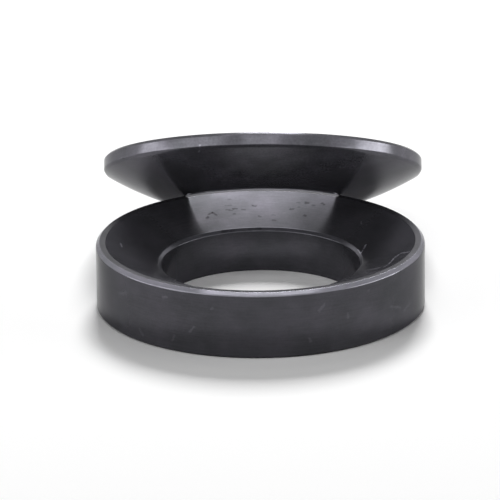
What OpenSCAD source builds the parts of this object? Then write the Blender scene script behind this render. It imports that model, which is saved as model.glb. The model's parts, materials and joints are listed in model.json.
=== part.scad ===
// Spherical washer and conical seat for an M12 bolt: two turned and blackened steel rings.
// The seat stands on its flat base. The washer leans back on it, ball face down: the foot of the
// ball face stands on the table behind the seat, and the edge of its bore rests on the seat's rim.

/* [Both rings] */
// Outside diameter of the washer and of the seat, which are turned as a matching pair
ring_od = 24; // [21:0.1:28]

/* [Spherical washer] */
// Diameter of the washer's bore
washer_bore = 13; // [10:0.1:15]
// Height of the rim, from the edge of the ball face to the flat face
washer_rim_h = 1.05; // [0.7:0.05:3]
// Radius of the ball face
ball_r = 23.5; // [18:0.1:36]
// Chamfer between the rim and the flat face
washer_top_chamfer = 0.2; // [0.05:0.05:0.4]
// Edge break between the rim and the ball face, along each
washer_edge_break = 0.12; // [0.04:0.02:0.3]
// Chamfer at both ends of the washer's bore
washer_bore_chamfer = 0.2; // [0.05:0.05:0.4]

/* [Conical seat] */
// Height of the seat
seat_h = 4.9; // [3.5:0.1:8]
// Diameter of the seat's bore
seat_bore = 14.5; // [12.5:0.1:18]
// Included angle of the seat's cone
seat_angle = 135; // [115:1:150]
// Width of the flat land round the mouth of the cone
seat_land = 0.45; // [0.1:0.05:1.5]
// Chamfer between the outside wall and the land
seat_top_chamfer = 0.25; // [0.1:0.05:0.8]
// Chamfer where the cone meets the bore
seat_bore_chamfer = 0.2; // [0.05:0.01:0.5]
// Chamfer round the outside of the base
seat_base_chamfer = 0.15; // [0.05:0.05:0.5]

/* [Lean] */
// Angle between the washer's flat face and the table
lean = 27; // [20:0.1:40]
// Gap left where the washer rests on the seat
rest_gap = 0.02; // [0.01:0.01:0.2]

/* [Hidden] */
$fn = 180;
blackened_steel = "#313036";

// Outside radius of both rings
ring_r = ring_od / 2;

// Washer section, in radius and in height above the edge where the rim would meet the ball face
washer_bore_r = washer_bore / 2;
ball_h = sqrt(ball_r * ball_r - ring_r * ring_r);
function ball_face_h(radius) = ball_h - sqrt(ball_r * ball_r - radius * radius);
edge_top = [ring_r, washer_edge_break];
edge_foot = [ring_r - washer_edge_break, ball_face_h(ring_r - washer_edge_break)];
bore_mouth_r = washer_bore_r + washer_bore_chamfer;
bore_mouth_h = ball_face_h(bore_mouth_r);

// Seat section, in radius and in height above the base
seat_bore_r = seat_bore / 2;
seat_slope = 90 - seat_angle / 2;
land_r = ring_r - seat_top_chamfer;
mouth_r = land_r - seat_land;
function cone_h(radius) = seat_h - (mouth_r - radius) * tan(seat_slope);
cone_foot_r = seat_bore_r + seat_bore_chamfer;
cone_foot_h = cone_h(cone_foot_r);

// How far blanks and cutters run on past the faces that they make, and the floor that they run to
run_on = 1;
blank_floor = ball_h - ball_r - run_on;

// Height of the washer's edge circle with the lowest point of the leaning washer on the table
function drop(point) = point.x * sin(lean) - point.y * cos(lean);
touch_r = min(ball_r * sin(lean), edge_foot.x);
washer_z = max(drop([touch_r, ball_face_h(touch_r)]), drop(edge_top));

// How far a point lies outside a ring, below zero inside it, by its radius and height in that ring
function outside_washer(radius, height) = max(
    washer_bore_r - radius,
    radius - ring_r,
    height - washer_rim_h,
    norm([radius, height - ball_h]) - ball_r,
    (bore_mouth_r - radius - height + bore_mouth_h) / sqrt(2)
);
function outside_seat(radius, height) = max(
    radius - ring_r,
    height - seat_h,
    (radius - land_r + height - seat_h) / sqrt(2),
    (height - cone_h(radius)) * cos(seat_slope)
);

// Angle between the points that are tried along an edge
turn_step = 0.2;

// Least clearance with the washer's centre at depth y, between the seat's rim edges and the washer
// and between the washer's bore edges and the seat. Left and right are alike, so one half is enough.
rim_edges = [[ring_r, seat_h - seat_top_chamfer], [land_r, seat_h], [mouth_r, seat_h]];
bore_edges = [[bore_mouth_r, bore_mouth_h], [washer_bore_r, bore_mouth_h + washer_bore_chamfer]];
function rim_edge_clearance(edge, turn, y) =
    let (back = edge.x * cos(turn) - y, up = edge.y - washer_z)
    outside_washer(
        norm([edge.x * sin(turn), up * sin(lean) - back * cos(lean)]),
        back * sin(lean) + up * cos(lean)
    );
function bore_edge_clearance(edge, turn, y) =
    let (rise = edge.x * cos(turn))
    outside_seat(
        norm([edge.x * sin(turn), y - rise * cos(lean) + edge.y * sin(lean)]),
        washer_z + rise * sin(lean) + edge.y * cos(lean)
    );
function clearance(y) = min(concat(
    [for (edge = rim_edges, turn = [0:turn_step:90]) rim_edge_clearance(edge, turn, y)],
    [for (edge = bore_edges, turn = [0:turn_step:180]) bore_edge_clearance(edge, turn, y)]
));

// Depth at which the washer comes to rest on the seat, found by halving
function resting_y(near, far, halvings = 30) =
    let (middle = (near + far) / 2)
    halvings == 0 ? far
    : clearance(middle) < rest_gap ? resting_y(middle, far, halvings - 1)
    : resting_y(near, middle, halvings - 1);
washer_y = resting_y(0, 2 * ring_od);

// Washer before its ball face is turned: flat face, top chamfer, rim and edge break
module washer_blank() {
    edge_fall = edge_top.y - edge_foot.y;
    edge_end = edge_foot - run_on * [washer_edge_break, edge_fall] / edge_fall;
    rotate_extrude()
        polygon([
            [0, blank_floor],
            [edge_end.x, blank_floor],
            edge_end,
            edge_top,
            [ring_r, washer_rim_h - washer_top_chamfer],
            [ring_r - washer_top_chamfer, washer_rim_h],
            [0, washer_rim_h]
        ]);
}

// Bore of the washer with a chamfer at each end
module washer_bore_cutter() {
    rotate_extrude()
        polygon([
            [0, blank_floor],
            [bore_mouth_r + bore_mouth_h - blank_floor, blank_floor],
            [washer_bore_r, bore_mouth_h + washer_bore_chamfer],
            [washer_bore_r, washer_rim_h - washer_bore_chamfer],
            [bore_mouth_r + run_on, washer_rim_h + run_on],
            [0, washer_rim_h + run_on]
        ]);
}

module spherical_washer() {
    color(blackened_steel)
        translate([0, washer_y, washer_z])
            rotate([-lean, 0, 0])
                difference() {
                    intersection() {
                        washer_blank();
                        translate([0, 0, ball_h])
                            sphere(r = ball_r);
                    }
                    washer_bore_cutter();
                }
}

module conical_seat() {
    color(blackened_steel)
        rotate_extrude()
            polygon([
                [seat_bore_r, 0],
                [ring_r - seat_base_chamfer, 0],
                [ring_r, seat_base_chamfer],
                [ring_r, seat_h - seat_top_chamfer],
                [land_r, seat_h],
                [mouth_r, seat_h],
                [cone_foot_r, cone_foot_h],
                [seat_bore_r, cone_foot_h - seat_bore_chamfer]
            ]);
}

spherical_washer();
conical_seat();
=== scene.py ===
import json
import math
import bpy
from mathutils import Matrix, Vector


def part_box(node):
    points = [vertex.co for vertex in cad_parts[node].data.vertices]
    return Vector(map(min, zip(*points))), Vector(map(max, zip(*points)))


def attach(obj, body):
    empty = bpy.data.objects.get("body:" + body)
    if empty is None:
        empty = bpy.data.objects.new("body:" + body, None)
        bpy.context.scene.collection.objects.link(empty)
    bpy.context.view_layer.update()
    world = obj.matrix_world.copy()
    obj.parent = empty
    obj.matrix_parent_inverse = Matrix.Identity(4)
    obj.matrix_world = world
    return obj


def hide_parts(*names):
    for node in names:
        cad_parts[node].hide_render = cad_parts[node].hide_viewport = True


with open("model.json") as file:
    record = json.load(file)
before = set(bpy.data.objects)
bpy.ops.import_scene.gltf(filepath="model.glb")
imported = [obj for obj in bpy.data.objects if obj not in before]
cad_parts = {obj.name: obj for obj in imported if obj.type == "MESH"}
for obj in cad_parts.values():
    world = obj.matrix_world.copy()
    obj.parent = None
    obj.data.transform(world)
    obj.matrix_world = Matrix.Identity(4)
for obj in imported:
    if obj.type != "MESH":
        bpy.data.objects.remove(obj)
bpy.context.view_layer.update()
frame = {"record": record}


# Conical seat: the lower ring, turned from steel bar with a dished cone that carries the washer,
# then tumbled, which softens its edges, and blackened. It stands on its flat base.
MM = 0.001
mounts = {mount["name"]: mount for mount in frame["record"]["mounts"]}
seat_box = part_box("conical_seat")
ring_radius = seat_box[1].x
seat_height = seat_box[1].z
seat_bore_radius = mounts["seat_bore"]["dims"]["r_mm"] * MM
seat_bore_wall = mounts["seat_bore"]["dims"]["length_mm"] * MM
seat_bore_chamfer = 0.2 * MM
seat_top_chamfer = 0.25 * MM
seat_land = 0.45 * MM
seat_base_chamfer = 0.15 * MM
cone_foot_radius = seat_bore_radius + seat_bore_chamfer
cone_foot_height = seat_bore_wall + seat_bore_chamfer
land_radius = ring_radius - seat_top_chamfer
mouth_radius = land_radius - seat_land


def add_node(tree, kind, settings=None, inputs=None):
    """Adds a node, sets its properties and feeds its inputs from values or from other sockets."""
    node = tree.nodes.new(kind)
    for name, value in (settings or {}).items():
        setattr(node, name, value)
    for name, value in (inputs or {}).items():
        if isinstance(value, bpy.types.NodeSocket):
            tree.links.new(value, node.inputs[name])
        else:
            node.inputs[name].default_value = value
    return node


def lathe():
    """A node tree that rounds the corners of a section and turns it about the Z axis."""
    tree = bpy.data.node_groups.new("turn on a lathe", "GeometryNodeTree")
    for name, kind in (
        ("Section", "NodeSocketGeometry"),
        ("Pitch radius", "NodeSocketFloat"),
        ("Round steps", "NodeSocketInt"),
        ("Turn steps", "NodeSocketInt"),
        ("Finish", "NodeSocketMaterial"),
    ):
        tree.interface.new_socket(name, in_out="INPUT", socket_type=kind)
    tree.interface.new_socket("Ring", in_out="OUTPUT", socket_type="NodeSocketGeometry")
    given = add_node(tree, "NodeGroupInput").outputs
    corner = add_node(tree, "GeometryNodeInputRadius").outputs["Radius"]
    rounded = add_node(
        tree,
        "GeometryNodeFilletCurve",
        {"mode": "POLY"},
        {"Curve": given["Section"], "Count": given["Round steps"], "Radius": corner, "Limit Radius": True},
    ).outputs["Curve"]
    inward = add_node(
        tree, "ShaderNodeMath", {"operation": "MULTIPLY"}, {0: given["Pitch radius"], 1: -1.0}
    ).outputs["Value"]
    shift = add_node(tree, "ShaderNodeCombineXYZ", inputs={"X": inward}).outputs["Vector"]
    profile = add_node(
        tree,
        "GeometryNodeTransform",
        inputs={"Geometry": rounded, "Translation": shift, "Rotation": (math.radians(90), 0, 0)},
    ).outputs["Geometry"]
    circle = add_node(
        tree,
        "GeometryNodeCurvePrimitiveCircle",
        {"mode": "RADIUS"},
        {"Resolution": given["Turn steps"], "Radius": given["Pitch radius"]},
    ).outputs["Curve"]
    rail = add_node(
        tree, "GeometryNodeSetCurveNormal", {"mode": "Z_UP"}, {"Curve": circle}
    ).outputs["Curve"]
    swept = add_node(
        tree, "GeometryNodeCurveToMesh", inputs={"Curve": rail, "Profile Curve": profile}
    ).outputs["Mesh"]
    joined = add_node(
        tree, "GeometryNodeMergeByDistance", inputs={"Geometry": swept, "Distance": 0.0005 * MM}
    ).outputs["Geometry"]
    position = add_node(tree, "GeometryNodeInputPosition").outputs["Position"]
    marked = add_node(
        tree,
        "GeometryNodeStoreNamedAttribute",
        {"data_type": "FLOAT_VECTOR", "domain": "POINT"},
        {"Geometry": joined, "Name": "turned", "Value": position},
    ).outputs["Geometry"]
    smooth = add_node(tree, "GeometryNodeSetShadeSmooth", inputs={"Geometry": marked}).outputs["Geometry"]
    real = add_node(tree, "GeometryNodeRealizeInstances", inputs={"Geometry": smooth}).outputs["Geometry"]
    done = add_node(
        tree, "GeometryNodeSetMaterial", inputs={"Geometry": real, "Material": given["Finish"]}
    ).outputs["Geometry"]
    add_node(tree, "NodeGroupOutput", inputs={"Ring": done})
    return tree


turn_on_lathe = lathe()


def turned_ring(name, corners, finish, place):
    """Turns a section, given as (radius, height, rounding) corners in order, and puts it in its place."""
    section = bpy.data.curves.new(name + "_section", "CURVE")
    section.dimensions = "3D"
    spline = section.splines.new("POLY")
    spline.use_cyclic_u = True
    spline.points.add(len(corners) - 1)
    for point, (radius, height, rounding) in zip(spline.points, corners):
        point.co = (radius, 0, height, 1)
        point.radius = rounding
    blank = bpy.data.objects.new(name + "_blank", section)
    bpy.context.scene.collection.objects.link(blank)
    modifier = blank.modifiers.new("lathe", "NODES")
    modifier.node_group = turn_on_lathe
    settings = {"Pitch radius": ring_radius, "Round steps": 10, "Turn steps": 320, "Finish": finish}
    for socket in turn_on_lathe.interface.items_tree:
        if socket.name in settings:
            modifier[socket.identifier] = settings[socket.name]
    evaluated = blank.evaluated_get(bpy.context.evaluated_depsgraph_get())
    mesh = bpy.data.meshes.new_from_object(evaluated)
    bpy.data.objects.remove(blank)
    mesh.transform(place)
    mesh.name = name
    ring = bpy.data.objects.new(name, mesh)
    bpy.context.scene.collection.objects.link(ring)
    return ring


def srgb(code):
    """Linear colour from an sRGB hex code."""
    shares = [int(code[i : i + 2], 16) / 255 for i in (1, 3, 5)]
    return [s / 12.92 if s <= 0.04045 else ((s + 0.055) / 1.055) ** 2.4 for s in shares] + [1]


def blackened_steel(name, mottle, bands, marks):
    """Black oxide over turned steel: thin, slightly blotchy, with turning lines round the axis.

    Mottle is how strongly clouds and fine grain show. A band is a zone of another lightness, where a sum
    of shares of radius, depth and height passes from start to end; bands carry wear as well as painted
    highlights and painted shade. A mark is a scratch, hair or pit, or a stroke of painted shade, from
    point to point, with a ragged edge. Bands and marks carry a gain in lightness.
    """
    material = bpy.data.materials.new(name)
    material.use_nodes = True
    tree = material.node_tree
    tree.nodes.clear()
    turned = add_node(tree, "ShaderNodeAttribute", {"attribute_name": "turned"}).outputs["Vector"]
    along = add_node(tree, "ShaderNodeSeparateXYZ", inputs={"Vector": turned}).outputs
    flat = add_node(
        tree, "ShaderNodeCombineXYZ", inputs={"X": along["X"], "Y": along["Y"]}
    ).outputs["Vector"]
    radius = add_node(tree, "ShaderNodeVectorMath", {"operation": "LENGTH"}, {0: flat}).outputs["Value"]
    angle = add_node(
        tree, "ShaderNodeMath", {"operation": "ARCTAN2"}, {0: along["Y"], 1: along["X"]}
    ).outputs["Value"]

    # Turning lines, as wide as the feed of the tool, each running about 0.12 radians round the ring
    line_width = 0.09 * MM
    line_depth = 0.0015 * MM
    line_length = 0.12
    drawn_out = add_node(
        tree, "ShaderNodeMath", {"operation": "MULTIPLY"}, {0: angle, 1: line_width / line_length}
    ).outputs["Value"]
    round_axis = add_node(
        tree, "ShaderNodeCombineXYZ", inputs={"X": radius, "Y": along["Z"], "Z": drawn_out}
    ).outputs["Vector"]
    lines = add_node(
        tree, "ShaderNodeTexNoise", inputs={"Vector": round_axis, "Scale": 1 / line_width, "Detail": 3.0}
    ).outputs["Fac"]
    # Blotches, clouds and grain of the oxide
    blotch_size = 3.0 * MM
    blotches = add_node(
        tree, "ShaderNodeTexNoise", inputs={"Vector": turned, "Scale": 1 / blotch_size, "Detail": 5.0}
    ).outputs["Fac"]
    cloud_size = 1.2 * MM
    clouds = add_node(
        tree, "ShaderNodeTexNoise", inputs={"Vector": turned, "Scale": 1 / cloud_size, "Detail": 2.0}
    ).outputs["Fac"]
    grain_size = 0.16 * MM
    grain = add_node(
        tree, "ShaderNodeTexNoise", inputs={"Vector": turned, "Scale": 1 / grain_size, "Detail": 2.0}
    ).outputs["Fac"]

    # Place with a small drift, which makes the marks ragged
    ragged = 0.3 * MM
    drift = add_node(
        tree, "ShaderNodeTexNoise", inputs={"Vector": turned, "Scale": 1 / ragged, "Detail": 3.0}
    ).outputs["Color"]
    either_way = add_node(
        tree, "ShaderNodeVectorMath", {"operation": "SUBTRACT"}, {0: drift, 1: (0.5, 0.5, 0.5)}
    ).outputs["Vector"]
    wander = add_node(
        tree,
        "ShaderNodeVectorMath",
        {"operation": "MULTIPLY_ADD"},
        {0: either_way, 1: (ragged, ragged, ragged), 2: turned},
    ).outputs["Vector"]

    # The noise lies mostly between these two values
    low = 0.3
    high = 0.7
    gains = []
    for pattern, spread in ((lines, 0.08), (blotches, 0.15), (clouds, mottle), (grain, mottle)):
        gains.append(
            add_node(
                tree,
                "ShaderNodeMapRange",
                inputs={
                    "Value": pattern,
                    "From Min": low,
                    "From Max": high,
                    "To Min": 1 - spread,
                    "To Max": 1 + spread,
                },
            ).outputs["Result"]
        )
    where = add_node(
        tree, "ShaderNodeCombineXYZ", inputs={"X": radius, "Y": along["Y"], "Z": along["Z"]}
    ).outputs["Vector"]
    for shares, start, end, gain in bands:
        level = add_node(
            tree, "ShaderNodeVectorMath", {"operation": "DOT_PRODUCT"}, {0: where, 1: shares}
        ).outputs["Value"]
        gains.append(
            add_node(
                tree,
                "ShaderNodeMapRange",
                {"interpolation_type": "SMOOTHSTEP"},
                {"Value": level, "From Min": start, "From Max": end, "To Min": 1.0, "To Max": gain},
            ).outputs["Result"]
        )
    for start, end, width, gain in marks:
        run = end - start
        per_run = run / run.length_squared
        offset = add_node(
            tree, "ShaderNodeVectorMath", {"operation": "SUBTRACT"}, {0: wander, 1: start}
        ).outputs["Vector"]
        share = add_node(
            tree, "ShaderNodeVectorMath", {"operation": "DOT_PRODUCT"}, {0: offset, 1: per_run}
        ).outputs["Value"]
        held = add_node(tree, "ShaderNodeClamp", inputs={"Value": share}).outputs["Result"]
        foot = add_node(
            tree, "ShaderNodeVectorMath", {"operation": "SCALE"}, {0: run, "Scale": held}
        ).outputs["Vector"]
        away = add_node(
            tree, "ShaderNodeVectorMath", {"operation": "DISTANCE"}, {0: offset, 1: foot}
        ).outputs["Value"]
        gains.append(
            add_node(
                tree,
                "ShaderNodeMapRange",
                {"interpolation_type": "SMOOTHSTEP"},
                {"Value": away, "From Min": width * 0.2, "From Max": width, "To Min": gain, "To Max": 1.0},
            ).outputs["Result"]
        )
    lightness = gains[0]
    for gain in gains[1:]:
        lightness = add_node(
            tree, "ShaderNodeMath", {"operation": "MULTIPLY"}, {0: lightness, 1: gain}
        ).outputs["Value"]

    tint = add_node(
        tree,
        "ShaderNodeMix",
        {"data_type": "RGBA"},
        {"Factor": blotches, "A": srgb("#4d4f52"), "B": srgb("#524f57")},
    )
    colour = add_node(
        tree,
        "ShaderNodeVectorMath",
        {"operation": "SCALE"},
        {0: tint.outputs["Result"], "Scale": lightness},
    ).outputs["Vector"]
    relief = add_node(
        tree, "ShaderNodeBump", inputs={"Height": lines, "Strength": 1.0, "Distance": line_depth}
    ).outputs["Normal"]
    roughness = add_node(
        tree,
        "ShaderNodeMapRange",
        inputs={"Value": blotches, "From Min": low, "From Max": high, "To Min": 0.18, "To Max": 0.22},
    ).outputs["Result"]
    shader = add_node(
        tree,
        "ShaderNodeBsdfPrincipled",
        inputs={
            "Base Color": colour,
            "Metallic": 0.6,
            "Roughness": roughness,
            "Specular Tint": srgb("#a4a4a4"),
            "Normal": relief,
        },
    )
    add_node(tree, "ShaderNodeOutputMaterial", inputs={"Surface": shader.outputs["BSDF"]})
    return material


def cone_height(radius):
    """Height of the seat's cone at a radius."""
    rise = (seat_height - cone_foot_height) / (mouth_radius - cone_foot_radius)
    return cone_foot_height + (radius - cone_foot_radius) * rise


def ring_point(bearing, radius, height):
    """A point on a ring, by its bearing clockwise from the back, its radius and its height."""
    turn = math.radians(bearing)
    return Vector((radius * math.sin(turn), radius * math.cos(turn), height))


# Pits and hairs on the cone, and one stroke of painted shade: bearing and radius of both ends, width and
# gain, in degrees and millimetres
cone_marks_and_painted_shade = [
    (-27.5, 8.9, -26.5, 9, 0.16, 0.45),
    (-25.5, 9.25, -23.5, 9.35, 0.13, 0.45),
    (-23.5, 9.35, -22, 9.1, 0.16, 0.45),
    (-16, 9.9, -13.5, 9.9, 0.1, 0.7),
    (-16.5, 9.5, -14, 9.4, 0.13, 0.6),
    (-13, 9.55, -11.5, 9.55, 0.13, 0.5),
    (-9, 9.4, -8, 9.4, 0.13, 0.6),
    (-4.5, 9.75, -3, 9.7, 0.14, 0.45),
    (-13.5, 9, -13, 8.95, 0.13, 0.6),
    (-14, 10.55, -13, 10.55, 0.12, 0.7),
    (-1.5, 8.65, -0.5, 8.6, 0.13, 0.65),
    (18.5, 10.25, 19.5, 10.25, 0.18, 0.45),
    (22, 10.1, 23, 10.1, 0.16, 0.65),
    (25.5, 10.4, 26.5, 10.35, 0.17, 0.5),
    (13, 9.5, 14, 9.5, 0.15, 0.5),
    (20.5, 8.95, 21.5, 8.95, 0.14, 0.5),
    (15, 10.2, 16, 10.2, 0.13, 0.7),
    (16, 9.7, 17, 9.75, 0.1, 0.65),
    (5, 8.8, 6, 8.75, 0.12, 0.7),
    (5.5, 8.25, 7, 8.2, 0.14, 0.65),
    # A stroke of painted shade, which dims the bright edge of the bore at the back, left of the middle
    (-23, 7.36, -1, 7.36, 0.2, 0.6),
    (80, 7.45, 76, 7.75, 0.08, 4),
    (75, 7.8, 72, 8.1, 0.1, 5),
    (72.5, 7.45, 79, 7.5, 0.08, 4),
    (120.5, 10.4, 117.5, 10.4, 0.08, 8),
    (116.5, 10.4, 113.5, 10.3, 0.08, 8),
    (112.5, 10.3, 107.5, 10.15, 0.08, 8),
    (106.5, 10.2, 103.5, 10.35, 0.08, 8),
    (103, 10.5, 105, 11.2, 0.1, 7),
    (133, 10.2, 126, 10.5, 0.08, 6),
    (116, 8.6, 118, 9.3, 0.08, 5),
    (118.5, 9.45, 118.5, 9.95, 0.08, 5),
    (-87.5, 10.2, -90.5, 10.1, 0.08, 4),
    (50.5, 9.55, 52.5, 9.4, 0.08, 2.5),
]
# Scuffs on the outside wall: bearing and height of both ends, width and gain, in the same units
wall_marks = [
    (-102, 2.7, -106, 2.35, 0.2, 1.5),
    (-123.5, 3.1, -127.5, 3.35, 0.18, 1.35),
    (-134.5, 1, -136, 0.65, 0.18, 1.4),
    (-145.5, 3.95, -147, 4, 0.16, 1.5),
    (-149, 0.8, -150, 1.2, 0.14, 1.4),
    (-156, 1.7, -157.5, 2.1, 0.14, 1.5),
    (-164, 3.6, -164.5, 3.65, 0.14, 1.45),
    (162.5, 1.3, 162, 1.1, 0.16, 1.45),
    (159, 3.3, 157, 3.75, 0.14, 1.4),
    (148, 2.75, 148, 2.45, 0.14, 1.35),
    (139.5, 4.1, 139, 4.1, 0.14, 1.35),
    (128, 2.25, 122.5, 1.85, 0.16, 1.4),
    (120, 1.45, 115.5, 1.75, 0.16, 1.5),
]
seat_marks_and_painted_shade = []
for bearing, radius, end_bearing, end_radius, width, gain in cone_marks_and_painted_shade:
    start = ring_point(bearing, radius * MM, cone_height(radius * MM))
    end = ring_point(end_bearing, end_radius * MM, cone_height(end_radius * MM))
    seat_marks_and_painted_shade.append((start, end, width * MM, gain))
for bearing, height, end_bearing, end_height, width, gain in wall_marks:
    start = ring_point(bearing, ring_radius, height * MM)
    end = ring_point(end_bearing, ring_radius, end_height * MM)
    seat_marks_and_painted_shade.append((start, end, width * MM, gain))
top_edge = ring_radius + seat_height - seat_top_chamfer
bore_edge = cone_foot_height - cone_foot_radius
# The back of the cone is painted lighter, a painted highlight. From the land outwards the ring is painted
# darker, painted shade that tones down the land's reflection, the wall less so than the land, and the
# chamfer and the edge of the bore are painted bright, partly wear and partly a painted highlight.
seat_wear_and_painted_light_bands = [
    # Painted highlight on the back of the cone
    ((0, 1, 0), 7.5 * MM, mouth_radius, 1.8),
    # Painted shade on the land and everything outside it
    ((1, 0, 0), mouth_radius - 0.06 * MM, mouth_radius, 0.6),
    # The chamfer: wear and a painted highlight
    ((1, 0, 1), top_edge - 0.05 * MM, top_edge - 0.005 * MM, 4.5),
    ((1, 0, 0), ring_radius - 0.03 * MM, ring_radius - 0.005 * MM, 1.25),
    # The edge of the bore: wear and a painted highlight
    ((-1, 0, 1), bore_edge - 0.06 * MM, bore_edge - 0.02 * MM, 1.7),
]
# Black oxide gives a dark, faintly violet grey with a satin sheen; its pale edges are partly wear and
# partly painted highlight
seat_steel = blackened_steel("black oxide on the turned seat", 0.05, seat_wear_and_painted_light_bands, seat_marks_and_painted_shade)
seat_section = [
    (seat_bore_radius, 0, 0.03 * MM),
    (ring_radius - seat_base_chamfer, 0, 0.05 * MM),
    (ring_radius, seat_base_chamfer, 0.05 * MM),
    (ring_radius, seat_height - seat_top_chamfer, 0.22 * MM),
    (land_radius, seat_height, 0.03 * MM),
    (mouth_radius, seat_height, 0.03 * MM),
    (cone_foot_radius, cone_foot_height, 0.06 * MM),
    (seat_bore_radius, seat_bore_wall, 0.06 * MM),
]
seat = turned_ring("conical_seat_ring", seat_section, seat_steel, Matrix.Identity(4))
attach(seat, "root")
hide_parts("conical_seat")


# Spherical washer: the upper ring, flat on top and turned to part of a ball below, then blackened.
# It leans back, ball face down, with its foot on the table and its bore resting on the seat's rim.
ball_radius = 23.5 * MM
rim_height = 1.05 * MM
rim_chamfer = 0.2 * MM
edge_break = 0.12 * MM
bore_chamfer = 0.2 * MM
washer_bore_radius = mounts["washer_bore"]["dims"]["r_mm"] * MM
washer_axis = Vector(mounts["washer_bore"]["axis"])
bore_middle = Vector(mounts["washer_bore"]["pos_m"])
face_point = Vector(mounts["washer_face"]["pos_m"])
washer_centre = bore_middle + washer_axis * ((face_point - bore_middle).dot(washer_axis) - rim_height)
ball_centre_height = math.sqrt(ball_radius**2 - ring_radius**2)


def ball_face(radius):
    """Height of the ball face at a radius, from the plane of its edge."""
    return ball_centre_height - math.sqrt(ball_radius**2 - radius**2)


ball_steps = 40
mouth = washer_bore_radius + bore_chamfer
edge = ring_radius - edge_break
ball_radii = [mouth + (edge - mouth) * step / ball_steps for step in range(ball_steps + 1)]
washer_section = [
    (washer_bore_radius, rim_height - bore_chamfer, 0.05 * MM),
    (washer_bore_radius, ball_face(mouth) + bore_chamfer, 0.05 * MM),
    *[(radius, ball_face(radius), 0) for radius in ball_radii],
    (ring_radius, edge_break, 0.08 * MM),
    (ring_radius, rim_height - rim_chamfer, 0.15 * MM),
    (ring_radius - rim_chamfer, rim_height, 0.15 * MM),
    (washer_bore_radius + bore_chamfer, rim_height, 0.05 * MM),
]
# The rim is painted paler all round, a painted sheen
washer_painted_sheen_bands = [((1, 0, 0), ring_radius - 0.03 * MM, ring_radius - 0.005 * MM, 1.4)]
scratch_foot = ring_point(-157, 11.6 * MM, ball_face(11.6 * MM))
scratch_head = ring_point(-158.5, ring_radius, 0.2 * MM)
washer_marks = [(scratch_foot, scratch_head, 0.12 * MM, 2)]
# The same satin dark grey, with faint clouds, and a rim painted paler as a painted sheen
washer_steel = blackened_steel("black oxide on the turned washer", 0.13, washer_painted_sheen_bands, washer_marks)
lean = Vector((0, 0, 1)).rotation_difference(washer_axis).to_matrix().to_4x4()
washer_place = Matrix.Translation(washer_centre) @ lean
washer = turned_ring("spherical_washer_ring", washer_section, washer_steel, washer_place)
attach(washer, "root")
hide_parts("spherical_washer")


# Table: a plain sheet of white card that the two rings stand on, lying loose and flat, and white to the
# edges of the picture.
table_half = 0.6
table_mesh = bpy.data.meshes.new("table")
table_corners = [(x * table_half, y * table_half, 0) for x, y in ((-1, -1), (1, -1), (1, 1), (-1, 1))]
table_mesh.from_pydata(table_corners, [], [(0, 1, 2, 3)])
table = bpy.data.objects.new("table", table_mesh)
bpy.context.scene.collection.objects.link(table)


def background_rays(tree):
    """One for rays that show the background: from the camera, or by way of metal or glass."""
    path = add_node(tree, "ShaderNodeLightPath").outputs
    shown = path["Is Camera Ray"]
    for kind in ("Is Glossy Ray", "Is Transmission Ray"):
        shown = add_node(
            tree, "ShaderNodeMath", {"operation": "MAXIMUM"}, {0: shown, 1: path[kind]}
        ).outputs["Value"]
    return shown


# Matt card gives an even white without a sheen, which keeps the soft shadow of the rings
card = bpy.data.materials.new("matt white card")
card.use_nodes = True
card.node_tree.nodes.clear()
seen = background_rays(card.node_tree)
whiteness = add_node(
    card.node_tree, "ShaderNodeMapRange", inputs={"Value": seen, "To Min": 0.92, "To Max": 1.0}
).outputs["Result"]
paper = add_node(card.node_tree, "ShaderNodeBsdfDiffuse", inputs={"Color": whiteness})
add_node(card.node_tree, "ShaderNodeOutputMaterial", inputs={"Surface": paper.outputs["BSDF"]})
table_mesh.materials.append(card)


# Light: soft boxes round the rings, as in a small studio, the strongest of them behind the rings, and a
# white surround that the metal shows.
light_distance = 0.45
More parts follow.
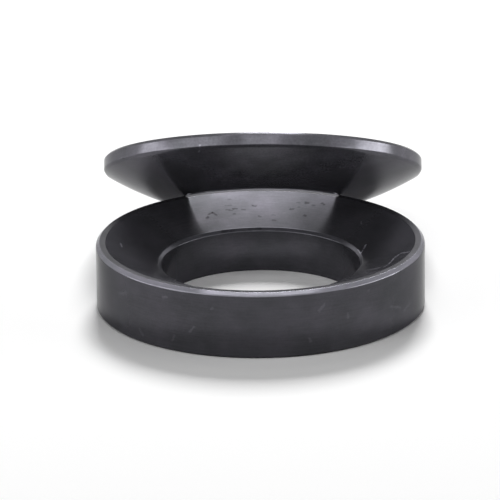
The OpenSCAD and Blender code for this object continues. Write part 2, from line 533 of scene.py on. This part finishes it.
# Name, bearing clockwise from the back, height in degrees, width and height in metres, radiance
soft_boxes = [
    ("key box", 3, 41, 0.12, 0.15, 36.0),
    ("top back box", 0, 66, 0.15, 0.12, 1.2),
    ("overhead strip", 180, 74, 0.42, 0.11, 2.4),
    ("front box", 180, 38, 0.2, 0.13, 1.3),
    ("front left box", -125, 30, 0.3, 0.14, 1.6),
    ("right box", 95, 9, 0.4, 0.12, 6.5),
    ("left box", -105, 9, 0.44, 0.12, 4.0),
]
for name, bearing, height_angle, width, height, radiance in soft_boxes:
    lamp = bpy.data.lights.new(name, "AREA")
    lamp.shape = "RECTANGLE"
    lamp.size = width
    lamp.size_y = height
    lamp.energy = radiance * math.pi * width * height
    box = bpy.data.objects.new(name, lamp)
    turn = math.radians(bearing)
    rise = math.radians(height_angle)
    away = Vector((math.sin(turn) * math.cos(rise), math.cos(turn) * math.cos(rise), math.sin(rise)))
    box.location = away * light_distance
    box.rotation_euler = (-away).to_track_quat("-Z", "Y").to_euler()
    bpy.context.scene.collection.objects.link(box)

world = bpy.data.worlds.new("white surround")
bpy.context.scene.world = world
world.use_nodes = True
world.node_tree.nodes.clear()
seen = background_rays(world.node_tree)
strength = add_node(
    world.node_tree, "ShaderNodeMapRange", inputs={"Value": seen, "To Min": 0.05, "To Max": 1.0}
).outputs["Result"]
surround = add_node(
    world.node_tree, "ShaderNodeBackground", inputs={"Color": srgb("#ffffff"), "Strength": strength}
)
add_node(world.node_tree, "ShaderNodeOutputWorld", inputs={"Surface": surround.outputs["Background"]})


# Camera: a long lens that looks a little down on the rings from the front, rolled slightly, as the
# picture was taken.
azimuth = math.radians(1.12)
elevation = math.radians(18.81)
roll = math.radians(-0.65)
distance = 360 * MM
target = Vector((-0.758 * MM, 0, 4.075 * MM))
frame_pixels = 500
focal_pixels = 4934.5
sensor_width = 36

level = math.cos(elevation)
back = Vector((math.sin(azimuth) * level, -math.cos(azimuth) * level, math.sin(elevation)))
level_right = Vector((0, 0, 1)).cross(back).normalized()
level_up = back.cross(level_right)
right = level_right * math.cos(roll) + level_up * math.sin(roll)
up = level_up * math.cos(roll) - level_right * math.sin(roll)
camera_data = bpy.data.cameras.new("camera")
camera_data.sensor_width = sensor_width
camera_data.lens = focal_pixels * sensor_width / frame_pixels
camera = bpy.data.objects.new("camera", camera_data)
turned_axes = Matrix((right, up, back)).transposed().to_4x4()
camera.matrix_world = Matrix.Translation(target + back * distance) @ turned_axes
bpy.context.scene.collection.objects.link(camera)
bpy.context.scene.camera = camera
bpy.context.scene.view_settings.view_transform = "Standard"
